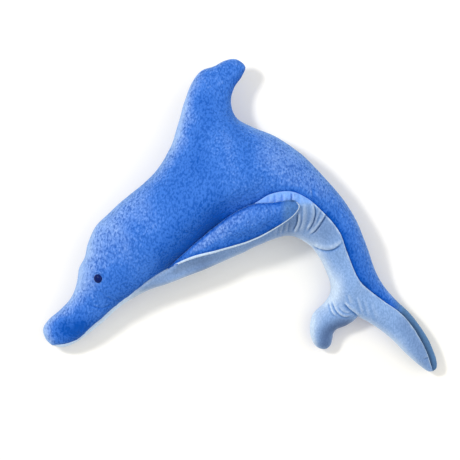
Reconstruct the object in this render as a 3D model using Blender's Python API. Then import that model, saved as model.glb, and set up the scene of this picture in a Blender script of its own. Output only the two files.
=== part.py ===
"""Plush dolphin lying on its right side.

Sizes are in metres. X runs from beak to tail, Y from belly to back, Z up.
The body is sewn from two blue sides and one pale belly panel, and stuffed.
The plan outline is drawn first. Both sheets are then filled out like a
stuffed bag: thick where the outline is wide and thin where it is narrow.
"""
import math

import bpy
import numpy as np
from mathutils import Matrix, Vector
from mathutils.geometry import delaunay_2d_cdt

MM = 0.001

# Main sizes of the toy as it lies
LENGTH = 417.0 * MM
SPAN = 329.0 * MM
THICKNESS = 84.0 * MM

# Cloth and gaps
CLOTH = 2.0 * MM
FLIPPER_CLOTH = 1.5 * MM
SEAM_GAP = 0.3 * MM
FIT_GAP = 0.3 * MM
SEAM_TUCK = 1.8 * MM
SEAM_TUCK_WIDTH = 4.0 * MM
DEEPEST_TUCK = 3.6 * MM
TUCK_NEEDS_HALF = 14.0 * MM

# Fullness of the stuffing, 1 is as thick as a round bag
BODY_FULLNESS = THICKNESS / (0.227 * math.sqrt(LENGTH * SPAN))
SOFT_BLEND = 9.0 * MM

# Flippers
FLIPPER_THICKNESS = 12.0 * MM
FLAT_FLIPPER_THICKNESS = 9.0 * MM
HIDDEN_LEDGE = 7.0 * MM
HIDDEN_SLOPE = 26.0 * MM

# Valley in which the upper flipper lies
VALLEY_DEPTH = 17.0 * MM
VALLEY_BACK_WIDTH = 17.0 * MM
VALLEY_BELLY_WIDTH = 42.0 * MM
VALLEY_NEEDS_HALF = 20.0 * MM

# Gathers of the belly
GATHER_DEPTH = 3.2 * MM
GATHER_WIDTH = 3.4 * MM

# Eyes
EYE_DIAMETER = 9.0 * MM
EYE_HEIGHT = 3.4 * MM
EYE_RIM = 0.6 * MM
STEM_DIAMETER = 3.0 * MM
WASHER_DIAMETER = 10.0 * MM
WASHER_THICKNESS = 1.2 * MM
STEM_BEYOND_WASHER = 1.5 * MM
EYE_DIMPLE = 0.8 * MM
SEAT_RADIUS = WASHER_DIAMETER / 2 + 1.5 * MM
SEAT_MARGIN = 3.0 * MM

# Mesh spacing
RIM_STEP = 8.5 * MM
BEND_STEP = 0.65
RIM_ROWS = (3.0 * MM, 9.0 * MM)
GRID_STEP = 13.5 * MM
FOLD_STEP = 5.5 * MM

# Plan outline in millimetres, stretched to the named length and span
BACK_OUTLINE = (
    (-200, -138), (-207, -130), (-208, -119), (-201, -108), (-187, -96),
    (-178, -86), (-172, -71), (-169, -55), (-163, -43), (-160, -29),
    (-152, -11), (-138, 3), (-111, 26), (-88, 47), (-73, 73), (-64, 100),
    (-57, 124), (-50, 141), (-41, 152), (-27, 157), (-16, 163), (-4, 164),
    (5, 157), (1, 146), (-7, 134), (-10, 119), (-4, 103), (13, 93),
    (37, 83), (63, 66), (88, 40), (108, 17), (123, -8), (133, -33),
    (144, -61), (160, -85), (180, -104), (197, -127), (206, -148),
    (209, -158), (205, -165),
)
NEAR_FLUKE_INNER = (
    (205, -165), (193, -160), (175, -146), (158, -128), (141, -115),
    (124, -106),
)
BELLY_OUTLINE = (
    (124, -106), (111, -117), (99, -123), (96, -134), (87, -141),
    (78, -135), (73, -121), (76, -104), (90, -89), (95, -77), (90, -59),
    (79, -38), (66, -26), (50, -21), (32, -25), (0, -40), (-37, -56),
    (-74, -70), (-103, -81), (-125, -94), (-147, -114), (-167, -130),
    (-183, -138), (-200, -138),
)
LEFT_SEAM = (
    (-200, -138), (-189, -135), (-173, -129), (-147, -108), (-121, -87),
    (-94, -68), (-71, -52), (-42, -27), (-15, -2), (13, 13), (32, 22),
    (52, 25), (68, 19), (84, 6), (103, -16), (112, -40), (126, -69),
    (147, -86), (171, -103), (188, -125), (198, -146), (205, -165),
)
RIGHT_SEAM = (
    (-200, -138), (-189, -134), (-173, -128), (-147, -106), (-121, -85),
    (-94, -67), (-71, -50), (-42, -25), (-15, -3), (13, 8), (42, 8),
    (68, 0), (88, -18), (98, -42), (95, -77),
)
TAIL_BACK_SEAM = ((133, -33), (128, -57), (126, -83), (124, -106))
FLIPPER_OUTLINE = (
    (-76, -55), (-59, -39), (-36, -19), (-10, 1), (13, 12), (36, 14),
    (55, 16), (61, 10), (56, 1), (37, -13), (13, -26), (-21, -37),
    (-50, -45), (-76, -55),
)
EYE_PLACE = (-148, -67)
VALLEY_LINE = ((-71, -55), (-42, -27), (-15, -2), (13, 13))

# Soft places: plan place, height of the middle as a share of the thickness
# and fullness, all by hand
SOFT_PLACES = (
    (-196, -124, 0.226, 0.95), (-165, -103, 0.31, 0.85), (-132, -60, 0.393, 0.78),
    (-98, -18, 0.44, 0.79), (-55, 5, 0.452, 0.82), (0, 40, 0.452, 0.82),
    (60, 40, 0.44, 0.83), (-35, 90, 0.429, 0.55), (-32, 125, 0.393, 0.50),
    (-8, 155, 0.357, 0.75), (108, -20, 0.357, 0.88), (115, -65, 0.298, 0.88),
    (140, -90, 0.226, 0.75), (168, -120, 0.179, 0.80), (200, -155, 0.143, 1.05),
    (92, -105, 0.179, 0.75), (86, -134, 0.143, 0.95), (-60, -60, 0.488, 0.80),
)

# Gathers of the belly panel: plan line, and shares of the gather depth and width
GATHERS = (
    (((59, 8), (58, -3), (55, -14)), 1.0, 1.0),
    (((76, 5), (76, -5), (71, -16)), 0.94, 1.0),
    (((85, -6), (81, -12), (75, -19)), 0.81, 1.0),
    (((80, -32), (90, -35), (100, -32)), 0.69, 0.94),
    (((53, 18), (55, 11)), 0.56, 0.76),
)

# Plan loop round the gathers, where the cloth needs a finer mesh
GATHER_ZONE = ((42, 30), (90, 22), (112, -28), (100, -42), (70, -30), (38, -8))


def drawn_size(axis):
    """Size of the drawn outline along X or Y."""
    places = [point[axis] for point in BACK_OUTLINE + BELLY_OUTLINE]
    return max(places) - min(places)


def plan_places(points):
    """Drawn plan points stretched to the named length and span."""
    return np.array(points, float) * (LENGTH / drawn_size(0), SPAN / drawn_size(1))


def smooth_points(points, step):
    """Evenly spaced points on a smooth curve through hand-chosen points."""
    given = plan_places(points)
    first = 2 * given[0] - given[1]
    last = 2 * given[-1] - given[-2]
    knots = np.vstack([first, given, last])
    curve = [given[0]]
    for i in range(1, len(knots) - 2):
        a, b, c, d = knots[i - 1:i + 3]
        bend = (b - a) @ (d - c) / (np.linalg.norm(b - a) * np.linalg.norm(d - c))
        bends = round(math.acos(min(1, max(-1, bend))) / BEND_STEP)
        count = max(1, round(np.linalg.norm(c - b) / step), bends)
        curve.extend(span_point(a, b, c, d, k / count) for k in range(1, count + 1))
    return np.array(curve)


def span_point(a, b, c, d, share):
    """Point of the smooth curve between b and c."""
    ta = 0.0
    tb = ta + math.sqrt(np.linalg.norm(b - a))
    tc = tb + math.sqrt(np.linalg.norm(c - b))
    td = tc + math.sqrt(np.linalg.norm(d - c))
    t = tb + share * (tc - tb)
    ab = a * (tb - t) / (tb - ta) + b * (t - ta) / (tb - ta)
    bc = b * (tc - t) / (tc - tb) + c * (t - tb) / (tc - tb)
    cd = c * (td - t) / (td - tc) + d * (t - tc) / (td - tc)
    abc = ab * (tc - t) / (tc - ta) + bc * (t - ta) / (tc - ta)
    bcd = bc * (td - t) / (td - tb) + cd * (t - tb) / (td - tb)
    return abc * (tc - t) / (tc - tb) + bcd * (t - tb) / (tc - tb)


def path_distance(points, path):
    """Distance of plan points to a plan path."""
    points = np.atleast_2d(points)
    starts = path[:-1]
    runs = path[1:] - starts
    lengths = np.maximum((runs ** 2).sum(1), 1e-18)
    away = points[:, None, :] - starts[None]
    share = np.clip((away * runs[None]).sum(2) / lengths, 0, 1)
    gap = away - share[..., None] * runs[None]
    return np.sqrt((gap ** 2).sum(2)).min(1)


def inside(points, loop):
    """True for plan points that lie inside a closed loop."""
    x = points[:, 0][:, None]
    y = points[:, 1][:, None]
    x1, y1 = loop[:, 0][None], loop[:, 1][None]
    x2, y2 = np.roll(loop[:, 0], -1)[None], np.roll(loop[:, 1], -1)[None]
    spans = (y1 > y) != (y2 > y)
    rise = np.where(y2 == y1, 1e-12, y2 - y1)
    hits = spans & (x < (x2 - x1) * (y - y1) / rise + x1)
    return hits.sum(1) % 2 == 1


def side_of_path(points, path):
    """One beside a path on its left, minus one on its right, between past its ends."""
    starts = path[:-1]
    runs = path[1:] - starts
    away = points[:, None, :] - starts[None]
    share = np.clip((away * runs[None]).sum(2) / (runs ** 2).sum(1), 0, 1)
    gaps = away - share[..., None] * runs[None]
    nearest = (gaps ** 2).sum(2).argmin(1)
    run = runs[nearest]
    gap = gaps[np.arange(len(points)), nearest]
    size = np.linalg.norm(run, axis=1) * np.maximum(np.linalg.norm(gap, axis=1), 1e-9)
    return (run[:, 0] * gap[:, 1] - run[:, 1] * gap[:, 0]) / size


def rim_row(loop, depth):
    """Points at one depth inside a closed loop."""
    ahead = np.roll(loop, -1, 0) - loop
    behind = loop - np.roll(loop, 1, 0)
    lean = ahead / np.linalg.norm(ahead, axis=1)[:, None]
    lean = lean + behind / np.linalg.norm(behind, axis=1)[:, None]
    lean = lean / np.maximum(np.linalg.norm(lean, axis=1)[:, None], 1e-9)
    turn = np.stack([lean[:, 1], -lean[:, 0]], 1)
    row = loop + turn * depth
    closed = np.vstack([loop, loop[:1]])
    keep = inside(row, loop) & (path_distance(row, closed) > 0.93 * depth)
    return row[keep]


def hex_grid(low, high, step):
    """Plan points on a staggered grid."""
    rows = []
    height = step * math.sqrt(3) / 2
    for j in range(int((high[1] - low[1]) / height) + 2):
        start = low[0] + (step / 2 if j % 2 else 0)
        xs = np.arange(start, high[0] + step, step)
        rows.append(np.stack([xs, np.full(len(xs), low[1] + j * height)], 1))
    return np.vstack(rows)


def ring_points(centre, radius, count):
    """Plan points round a place."""
    turns = np.arange(count) * 2 * math.pi / count
    return centre + radius * np.stack([np.cos(turns), np.sin(turns)], 1)


def thin_out(kept, wanted, spacing):
    """Add the wanted points that stay clear of all kept ones."""
    kept = list(kept)
    for point in wanted:
        gap = np.array(kept) - point
        if (gap ** 2).sum(1).min() > spacing ** 2:
            kept.append(point)
    return kept


def clear_of(points, lines, gap):
    """The points that stay clear of every line."""
    for line in lines:
        points = points[path_distance(points, line) > gap]
    return points


def plan_mesh(loop, lines, rings, fold_zone, rows, step):
    """Triangles of a closed loop with seams, folds and seats as mesh lines."""
    points = list(loop)
    edges = []
    for line in lines:
        ids = []
        for point in line:
            gap = ((np.array(points) - point) ** 2).sum(1)
            near = int(gap.argmin())
            if gap[near] > (0.6 * MM) ** 2:
                points.append(point)
                near = len(points) - 1
            ids.append(near)
        edges.extend((a, b) for a, b in zip(ids, ids[1:]) if a != b)
    for centre, radius in rings:
        first = len(points)
        points.extend(ring_points(centre, radius, 10))
        points.append(centre)
        edges.extend((first + k, first + (k + 1) % 10) for k in range(10))
    closed = np.vstack([loop, loop[:1]])
    extra = list(points)
    for k, depth in enumerate(rows):
        row = clear_of(rim_row(loop, depth), lines, 0.27 * RIM_STEP if k == 0 else 0.42 * RIM_STEP)
        extra = thin_out(extra, row, 0.6 * depth if k == 0 else 0.62 * RIM_STEP)
    for centre, radius in rings:
        row = ring_points(centre, radius + 0.75 * step, 12)
        row = clear_of(row[inside(row, loop)], lines + [closed], 0.4 * step)
        extra = thin_out(extra, row, 0.5 * step)
    low, high = loop.min(0), loop.max(0)
    if fold_zone is not None:
        fine = hex_grid(low, high, FOLD_STEP)
        fine = fine[inside(fine, fold_zone) & inside(fine, loop)]
        fine = clear_of(fine, lines + [closed], 0.72 * FOLD_STEP)
        extra = thin_out(extra, fine, 0.72 * FOLD_STEP)
    grid = hex_grid(low, high, step)
    grid = grid[inside(grid, loop)]
    grid = clear_of(grid, [closed], rows[-1] + 0.45 * step)
    grid = clear_of(grid, lines, 0.4 * step)
    extra = thin_out(extra, grid, 0.66 * step)
    for centre, radius in rings:
        own = len(points)
        free = [p for p in extra[own:] if np.linalg.norm(p - centre) > radius + SEAT_MARGIN]
        extra = extra[:own] + free
    extra = np.array(extra)
    flat = [Vector((float(x), float(y))) for x, y in extra]
    result = delaunay_2d_cdt(flat, edges, [list(range(len(loop)))[::-1]], 1, 1e-7)
    plan = np.array([(v.x, v.y) for v in result[0]])
    triangles = np.array([tuple(face) for face in result[2]])
    a, b, c = plan[triangles[:, 0]], plan[triangles[:, 1]], plan[triangles[:, 2]]
    area = (b - a)[:, 0] * (c - a)[:, 1] - (b - a)[:, 1] * (c - a)[:, 0]
    triangles[area < 0] = triangles[area < 0][:, ::-1]
    rim = [int(((plan - point) ** 2).sum(1).argmin()) for point in loop]
    return plan, triangles, rim


def fill_out(plan, triangles, rim, fullness):
    """Half thickness of a stuffed bag over its plan mesh."""
    count = len(plan)
    stiff = np.zeros((count, count))
    load = np.zeros(count)
    for tri in triangles:
        p = plan[tri]
        edge = p[[2, 0, 1]] - p[[1, 2, 0]]
        area = 0.5 * abs(edge[0, 0] * edge[1, 1] - edge[0, 1] * edge[1, 0])
        stiff[np.ix_(tri, tri)] += edge @ edge.T / (4 * area)
        load[tri] += area / 3 * (fullness[tri].mean() ** 2)
    free = np.setdiff1d(np.arange(count), rim)
    height = np.zeros(count)
    height[free] = np.linalg.solve(stiff[np.ix_(free, free)], load[free])
    return np.sqrt(2 * np.maximum(height, 0))


def soft_place(plan):
    """Height of the middle and fullness at plan points."""
    given = np.array(SOFT_PLACES)
    gap = ((plan[:, None, :] - plan_places(given[:, :2])[None]) ** 2).sum(2)
    weight = 1 / (gap + SOFT_BLEND ** 2) ** 1.6
    weight /= weight.sum(1)[:, None]
    return weight @ given[:, 2] * THICKNESS, weight @ given[:, 3] * BODY_FULLNESS


def valley(plan):
    """Depth of the valley in which the upper flipper lies."""
    path = smooth_points(VALLEY_LINE, 6 * MM)
    gap = path_distance(plan, path)
    belly_share = (1 - side_of_path(plan, path)) / 2
    width = VALLEY_BACK_WIDTH + (VALLEY_BELLY_WIDTH - VALLEY_BACK_WIDTH) * belly_share
    return VALLEY_DEPTH * np.exp(-(gap / width) ** 2)


def hidden_lift(plan):
    """Height to which the hidden flipper lifts the lower side."""
    loop = smooth_points(FLIPPER_OUTLINE, 8 * MM)
    gap = path_distance(plan, loop)
    gap = np.where(inside(plan, loop[:-1]), 0, gap)
    share = np.clip(1 - (gap - HIDDEN_LEDGE) / HIDDEN_SLOPE, 0, 1)
    return (FLAT_FLIPPER_THICKNESS + 2 * FIT_GAP) * share * share * (3 - 2 * share)


def tuck_depth(plan, lines, gathers):
    """Depth of the seams and gathers pulled into the cloth."""
    depth = np.zeros(len(plan))
    for line in lines:
        gap = path_distance(plan, line)
        depth = np.maximum(depth, SEAM_TUCK * np.exp(-(gap / SEAM_TUCK_WIDTH) ** 2))
    for line, deep, width in gathers:
        gap = path_distance(plan, smooth_points(line, 3 * MM))
        depth = depth + deep * GATHER_DEPTH * np.exp(-(gap / (width * GATHER_WIDTH)) ** 2)
    return np.minimum(depth, DEEPEST_TUCK)


def face_normals(points, triangles):
    """Area-weighted normals of triangles."""
    a, b, c = points[triangles[:, 0]], points[triangles[:, 1]], points[triangles[:, 2]]
    return np.cross(b - a, c - a)


def point_normals(points, triangles):
    """Unit normals of mesh points."""
    normals = np.zeros_like(points)
    faces = face_normals(points, triangles)
    for k in range(3):
        np.add.at(normals, triangles[:, k], faces)
    return normals / np.linalg.norm(normals, axis=1)[:, None]


def even_normals(normals, triangles, rounds):
    """Normals averaged with those of their neighbours."""
    for _ in range(rounds):
        mixed = normals * 2
        for a, b in ((0, 1), (1, 2), (2, 0)):
            np.add.at(mixed, triangles[:, a], normals[triangles[:, b]])
            np.add.at(mixed, triangles[:, b], normals[triangles[:, a]])
        normals = mixed / np.linalg.norm(mixed, axis=1)[:, None]
    return normals


def seat_flat(points, normals, ids):
    """Flatten the cloth under an eye and return the seat's middle and axis."""
    axis = normals[ids].mean(0)
    axis /= np.linalg.norm(axis)
    centre = points[ids[:-1]].mean(0) - axis * EYE_DIMPLE
    points[ids] -= np.outer((points[ids] - centre) @ axis, axis)
    normals[ids] = axis
    return points[ids[-1]].copy(), axis


def spread_depth(depth, triangles):
    """Greatest depth at a point and its neighbours."""
    wide = depth.copy()
    for tri in triangles:
        wide[tri] = np.maximum(wide[tri], depth[tri].max())
    return wide


def body_surface():
    """Smooth closed surface of the stuffed body with its panel regions."""
    back = smooth_points(BACK_OUTLINE, RIM_STEP)
    fluke = smooth_points(NEAR_FLUKE_INNER, RIM_STEP)
    belly = smooth_points(BELLY_OUTLINE, RIM_STEP)
    loop = np.vstack([back[:-1], fluke[:-1], belly[:-1]])
    left_seam = smooth_points(LEFT_SEAM, RIM_STEP)
    right_seam = smooth_points(RIGHT_SEAM, RIM_STEP)
    tail_seam = smooth_points(TAIL_BACK_SEAM, RIM_STEP)
    eye = plan_places(EYE_PLACE)
    rings = [(eye, SEAT_RADIUS)]
    folds = [smooth_points(line, FOLD_STEP) for line, deep, width in GATHERS]
    zone = plan_places(GATHER_ZONE)
    top = plan_mesh(loop, [left_seam] + folds, rings, zone, RIM_ROWS, GRID_STEP)
    low = plan_mesh(loop, [right_seam, tail_seam], rings, None, RIM_ROWS, GRID_STEP)
    parts = []
    for plan, triangles, rim in (top, low):
        middle, full = soft_place(plan)
        parts.append((plan, triangles, rim, middle, fill_out(plan, triangles, rim, full)))
    plan, triangles, rim, middle, half = parts[0]
    height = middle + half - valley(plan) * np.clip(half / VALLEY_NEEDS_HALF, 0, 1)
    points = np.column_stack([plan, height])
    tuck = tuck_depth(plan, [left_seam], GATHERS) * np.clip(half / TUCK_NEEDS_HALF, 0, 1)
    plan2, triangles2, rim2, middle2, half2 = parts[1]
    height2 = np.maximum(middle2 - half2, hidden_lift(plan2))
    tuck2 = tuck_depth(plan2, [right_seam, tail_seam], ()) * np.clip(half2 / TUCK_NEEDS_HALF, 0, 1)
    renumber = np.full(len(plan2), -1)
    renumber[rim2] = rim
    free = np.flatnonzero(renumber < 0)
    renumber[free] = len(plan) + np.arange(len(free))
    points = np.vstack([points, np.column_stack([plan2, height2])[free]])
    tuck = np.concatenate([tuck, tuck2[free]])
    under = renumber[triangles2][:, ::-1]
    mid_top = plan[triangles].mean(1)
    mid_low = plan2[triangles2].mean(1)
    belly_top = inside(mid_top, np.vstack([left_seam, fluke[1:], belly[1:-1]]))
    start = int(((belly - right_seam[-1]) ** 2).sum(1).argmin())
    belly_low = inside(mid_low, np.vstack([right_seam, belly[start + 1:-1]]))
    turn = int(((back - tail_seam[0]) ** 2).sum(1).argmin())
    left_low = inside(mid_low, np.vstack([tail_seam[::-1], back[turn + 1:], fluke[1:-1]]))
    faces = np.vstack([triangles, under])
    names = np.concatenate([
        np.where(belly_top, "belly", "left"),
        np.where(belly_low, "belly", np.where(left_low, "left", "right")),
    ])
    normals = even_normals(point_normals(points, faces), faces, 2)
    deep = spread_depth(tuck, faces)
    marks = np.vstack([ring_points(eye, SEAT_RADIUS, 10), [eye]])
    top_ids = np.array([((plan - mark) ** 2).sum(1).argmin() for mark in marks])
    low_ids = renumber[[((plan2 - mark) ** 2).sum(1).argmin() for mark in marks]]
    seats = []
    for ids in (top_ids, low_ids):
        deep[ids] = 0
        seats.append(seat_flat(points, normals, ids))
    return points, normals, tuck, deep, faces, names, seats


def cloth_shell(points, normals, tuck, deep, faces, cloth):
    """Closed sheet of cloth over some faces, a hair short of each seam."""
    used = np.unique(faces)
    local = {int(v): k for k, v in enumerate(used)}
    tris = [[local[int(v)] for v in face] for face in faces]
    base = points[used]
    out = normals[used]
    whole = set()
    for tri in tris:
        whole.update([(tri[0], tri[1]), (tri[1], tri[2]), (tri[2], tri[0])])
    rim = sorted((a, b) for a, b in whole if (b, a) not in whole)
    drift = np.zeros_like(base)
    for a, b in rim:
        run = base[b] - base[a]
        inward = np.cross(out[a] + out[b], run)
        inward /= np.linalg.norm(inward)
        drift[a] += inward
        drift[b] += inward
    for k in {v for pair in rim for v in pair}:
        length = np.linalg.norm(drift[k])
        drift[k] *= SEAM_GAP / 2 / length / max(length / 2, 0.5)
    outer = base - out * tuck[used][:, None] + drift
    inner = base - out * (deep[used] + cloth)[:, None] + drift
    count = len(used)
    mesh = [tuple(tri) for tri in tris]
    mesh += [(tri[2] + count, tri[1] + count, tri[0] + count) for tri in tris]
    for a, b in rim:
        mesh += wall_faces(a, b, count, used[a] < used[b])
    return np.vstack([outer, inner]), mesh


def wall_faces(a, b, count, from_first):
    """Two triangles between an outer and an inner rim edge."""
    if from_first:
        return [(b, a, b + count), (a, a + count, b + count)]
    return [(b, a, a + count), (b, a + count, b + count)]


def cloth_material(name, colour, roughness):
    """Plain material of a sub-part."""
    material = bpy.data.materials.new(name)
    material.use_nodes = True
    shader = material.node_tree.nodes["Principled BSDF"]
    shader.inputs["Base Color"].default_value = (*colour, 1)
    shader.inputs["Roughness"].default_value = roughness
    shader.inputs["Metallic"].default_value = 0
    material.diffuse_color = (*colour, 1)
    return material


def add_piece(name, points, faces, colour, roughness):
    """Add one closed piece as a named object."""
    mesh = bpy.data.meshes.new(name)
    mesh.from_pydata([tuple(map(float, p)) for p in points], [], [tuple(f) for f in faces])
    mesh.validate()
    mesh.materials.append(cloth_material(name + "_material", colour, roughness))
    for polygon in mesh.polygons:
        polygon.use_smooth = True
    mesh.set_sharp_from_angle(angle=math.radians(50))
    piece = bpy.data.objects.new(name, mesh)
    bpy.context.collection.objects.link(piece)
    return piece


def turned_piece(name, profile, centre, axis, steps, colour, roughness):
    """Add a round piece turned about an axis; the profile is (radius, height)."""
    up = Vector(axis)
    turn = up.to_track_quat("Z", "Y").to_matrix()
    points = []
    faces = []
    rings = []
    for radius, height in profile:
        if radius == 0:
            rings.append([len(points)])
            points.append(Vector(centre) + turn @ Vector((0, 0, height)))
            continue
        rings.append(list(range(len(points), len(points) + steps)))
        for k in range(steps):
            a = 2 * math.pi * k / steps
            spot = Vector((radius * math.cos(a), radius * math.sin(a), height))
            points.append(Vector(centre) + turn @ spot)
    closed = len(rings[0]) == 1
    pairs = list(zip(rings, rings[1:]))
    if not closed:
        pairs.append((rings[-1], rings[0]))
    for one, two in pairs:
        for k in range(steps):
            n = (k + 1) % steps
            if len(one) == 1:
                faces.append((one[0], two[n], two[k]))
            elif len(two) == 1:
                faces.append((one[k], one[n], two[0]))
            else:
                faces.append((one[k], one[n], two[n], two[k]))
    return add_piece(name, points, [f[::-1] for f in faces], colour, roughness)


def cut_away(piece, cutter):
    """Cut one closed helper out of a piece."""
    cutter.hide_render = True
    cutter.display_type = "WIRE"
    change = piece.modifiers.new("cut", "BOOLEAN")
    change.operation = "DIFFERENCE"
    change.solver = "EXACT"
    change.object = cutter
    bpy.context.view_layer.update()
    cut = bpy.data.meshes.new_from_object(piece.evaluated_get(bpy.context.evaluated_depsgraph_get()))
    piece.modifiers.clear()
    piece.data = cut
    bpy.data.objects.remove(cutter)


def add_eye(side, centre, axis, panel, core):
    """Domed eye with its stem, and the washer behind the cloth."""
    radius = EYE_DIAMETER / 2
    stem = STEM_DIAMETER / 2
    hole = stem + FIT_GAP
    under = -(CLOTH + FIT_GAP)
    tip = under - WASHER_THICKNESS - STEM_BEYOND_WASHER
    dome = [(0, FIT_GAP + EYE_HEIGHT)]
    for turn in (20, 42, 64):
        a = math.radians(turn)
        dome.append((radius * math.sin(a), FIT_GAP + EYE_RIM + (EYE_HEIGHT - EYE_RIM) * math.cos(a)))
    dome += [(radius, FIT_GAP + EYE_RIM), (radius, FIT_GAP), (stem, FIT_GAP), (stem, tip), (0, tip)]
    turned_piece(side + "_eye", dome, centre, axis, 20, (0.012, 0.025, 0.11), 0.12)
    ring = [
        (hole, under), (WASHER_DIAMETER / 2, under),
        (WASHER_DIAMETER / 2, under - WASHER_THICKNESS), (hole, under - WASHER_THICKNESS),
    ]
    turned_piece(side + "_eye_washer", ring, centre, axis, 20, (0.75, 0.75, 0.73), 0.4)
    bore = [(0, 6 * MM), (hole, 6 * MM), (hole, -CLOTH - 3 * MM), (0, -CLOTH - 3 * MM)]
    cut_away(panel, turned_piece("bore", bore, centre, axis, 16, (1, 1, 1), 0.5))
    wide = WASHER_DIAMETER / 2 + FIT_GAP
    end = tip - FIT_GAP
    pocket = [(0, 6 * MM), (wide, 6 * MM), (wide, end), (0, end)]
    cut_away(core, turned_piece("pocket", pocket, centre, axis, 20, (1, 1, 1), 0.5))


def sheet_height(points, faces, places):
    """Height of a sheet at plan places, with nothing where it has no face."""
    a, b, c = points[faces[:, 0]], points[faces[:, 1]], points[faces[:, 2]]
    heights = np.full(len(places), -1.0)
    for k, (x, y) in enumerate(places):
        det = (b[:, 1] - c[:, 1]) * (a[:, 0] - c[:, 0]) + (c[:, 0] - b[:, 0]) * (a[:, 1] - c[:, 1])
        det = np.where(abs(det) < 1e-14, 1e-14, det)
        u = ((b[:, 1] - c[:, 1]) * (x - c[:, 0]) + (c[:, 0] - b[:, 0]) * (y - c[:, 1])) / det
        v = ((c[:, 1] - a[:, 1]) * (x - c[:, 0]) + (a[:, 0] - c[:, 0]) * (y - c[:, 1])) / det
        w = 1 - u - v
        hit = np.flatnonzero((u >= -1e-6) & (v >= -1e-6) & (w >= -1e-6))
        if len(hit):
            z = u[hit] * a[hit, 2] + v[hit] * b[hit, 2] + w[hit] * c[hit, 2]
            heights[k] = z.max()
    return heights


def flipper_plan():
    """Plan mesh and plump share of a flipper, zero at its rim and one at its middle."""
    loop = smooth_points(FLIPPER_OUTLINE, 9 * MM)[:-1]
    if polygon_area(loop) > 0:
        loop = loop[::-1]
    plan, triangles, rim = plan_mesh(loop, [], [], None, (4.5 * MM,), 9 * MM)
    plump = fill_out(plan, triangles, rim, np.ones(len(plan)))
    return plan, triangles, rim, plump / plump.max()


def polygon_area(loop):
    """Signed area of a plan loop."""
    ahead = np.roll(loop, -1, 0)
    return 0.5 * float((loop[:, 0] * ahead[:, 1] - ahead[:, 0] * loop[:, 1]).sum())


def add_flipper(side, plan, triangles, rim, lower, upper, names, colours):
    """Two cloth leaves and the stuffing between them."""
    seam = set(rim)
    count = len(plan)
    middle = (lower + upper) / 2
    for name, colour, face_up in zip(names, colours, (False, True)):
        skin = upper if face_up else lower
        sign = 1 if face_up else -1
        near = skin - sign * FLIPPER_CLOTH
        rest = middle + sign * SEAM_GAP / 2
        near = np.maximum(near, rest) if face_up else np.minimum(near, rest)
        points = np.vstack([np.column_stack([plan, skin]), np.column_stack([plan, near])])
        ring = [(a, b) for a, b in boundary(triangles)]
        faces = [tuple(t) for t in triangles] + [tuple(t[::-1] + count) for t in triangles]
        for a, b in ring:
            faces += [(b, a, a + count), (b, a + count, b + count)]
        if not face_up:
            faces = [f[::-1] for f in faces]
        add_piece(f"{side}_flipper_{name}", points, faces, colour, 0.95)
    room = (upper - lower) / 2 - FLIPPER_CLOTH - FIT_GAP
    kept = triangles[(room[triangles] > 0.25 * MM).all(1)]
    used = np.unique(kept)
    local = {int(v): k for k, v in enumerate(used)}
    tris = [tuple(local[int(v)] for v in t) for t in kept]
    top = np.column_stack([plan[used], (middle + room)[used]])
    low = np.column_stack([plan[used], (middle - room)[used]])
    size = len(used)
    faces = tris + [(c + size, b + size, a + size) for a, b, c in tris]
    for a, b in boundary(np.array(tris)):
        faces += [(b, a, a + size), (b, a + size, b + size)]
    add_piece(f"{side}_flipper_stuffing", np.vstack([top, low]), faces, (0.85, 0.85, 0.83), 1.0)


def boundary(triangles):
    """Directed rim edges of a triangle sheet."""
    whole = set()
    for a, b, c in triangles:
        whole.update([(int(a), int(b)), (int(b), int(c)), (int(c), int(a))])
    return sorted((a, b) for a, b in whole if (b, a) not in whole)


def add_left_flipper(surface_points, surface_faces):
    """Upper flipper, laid on the belly panel in the valley."""
    plan, triangles, rim, plump = flipper_plan()
    edge = 2 * FLIPPER_CLOTH + SEAM_GAP
    body = sheet_height(surface_points, surface_faces, plan)
    half = edge / 2 + (FLIPPER_THICKNESS - edge) / 2 * plump
    weights = np.column_stack([plan, np.ones(len(plan))])
    tilt = np.linalg.lstsq(weights, body, rcond=None)[0]
    tilt[:2] *= 0.55
    bed = weights @ tilt
    bed += (body + half + FIT_GAP - bed).max()
    inner = surface_points[np.unique(surface_faces)]
    over = sheet_height(np.column_stack([plan, bed - half]), triangles, inner[:, :2])
    hit = over > 0
    bed += max(0.0, float((inner[hit, 2] + FIT_GAP - over[hit]).max()))
    names = ("inner", "outer")
    colours = ((0.50, 0.66, 0.93), (0.06, 0.20, 0.72))
    add_flipper("left", plan, triangles, rim, bed - half, bed + half, names, colours)


def add_right_flipper():
    """Hidden flipper, pressed flat between the body and the floor."""
    plan, triangles, rim, plump = flipper_plan()
    edge = 2 * FLIPPER_CLOTH + SEAM_GAP
    upper = edge + (FLAT_FLIPPER_THICKNESS - edge) * plump
    names = ("outer", "inner")
    colours = ((0.06, 0.20, 0.72), (0.50, 0.66, 0.93))
    add_flipper("right", plan, triangles, rim, np.zeros(len(plan)), upper, names, colours)


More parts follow.
